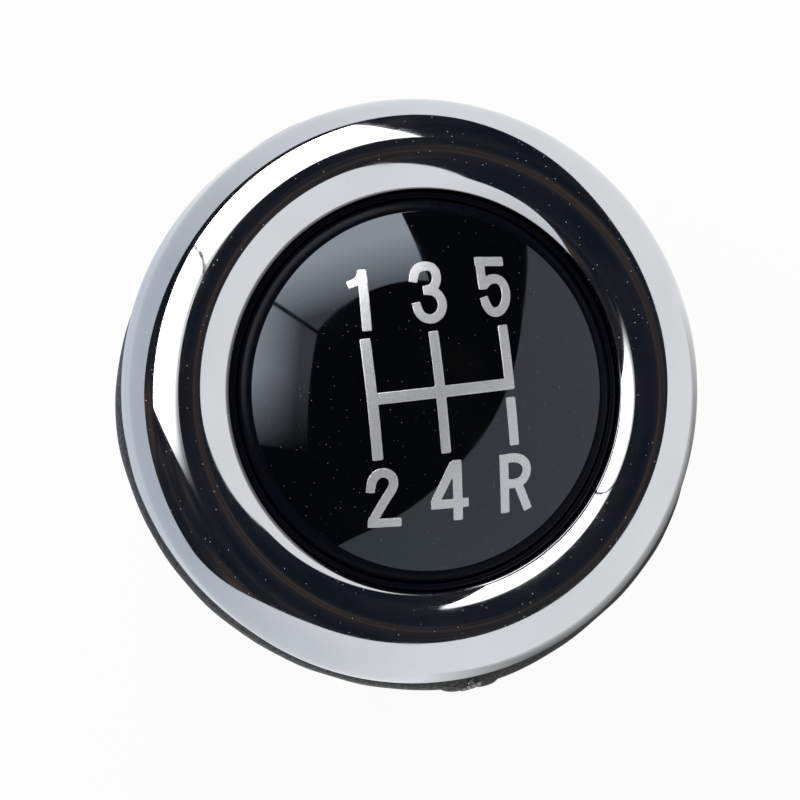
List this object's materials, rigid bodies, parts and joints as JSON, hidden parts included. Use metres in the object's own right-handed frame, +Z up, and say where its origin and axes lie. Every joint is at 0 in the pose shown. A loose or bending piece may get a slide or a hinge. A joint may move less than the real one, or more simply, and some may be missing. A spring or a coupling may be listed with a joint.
{
  "type": "gear shift knob",
  "caption": "Leather-covered knob for a manual gear lever, with a plated ring round a black domed cap that shows the shift pattern and a threaded bush below.",
  "frame": {"origin": "on the lever's axis, at the flat foot of the lower collar, which the knob stands on", "axes": "+Z up along the gear lever towards the domed cap, +Y towards the front of the car (gears 1, 3 and 5), -Y towards the rear seam"},
  "size_m": [0.05, 0.0526, 0.077],
  "materials": {
    "black_leather": "satin",
    "core_plastic": "matte",
    "insert_brass": "satin",
    "ring_chrome": "polished",
    "seat_black": "gloss",
    "dome_black": "gloss",
    "collar_black": "matte",
    "silver_print": "gloss",
    "seam_thread": "satin"
  },
  "bodies": {
    "root": {"leather_cover": "black_leather", "grip_core": "core_plastic", "threaded_insert": "insert_brass", "chrome_ring": "ring_chrome", "cap_seat": "seat_black", "pattern_dome": "dome_black", "lower_collar": "collar_black"}
  },
  "joints": []
}
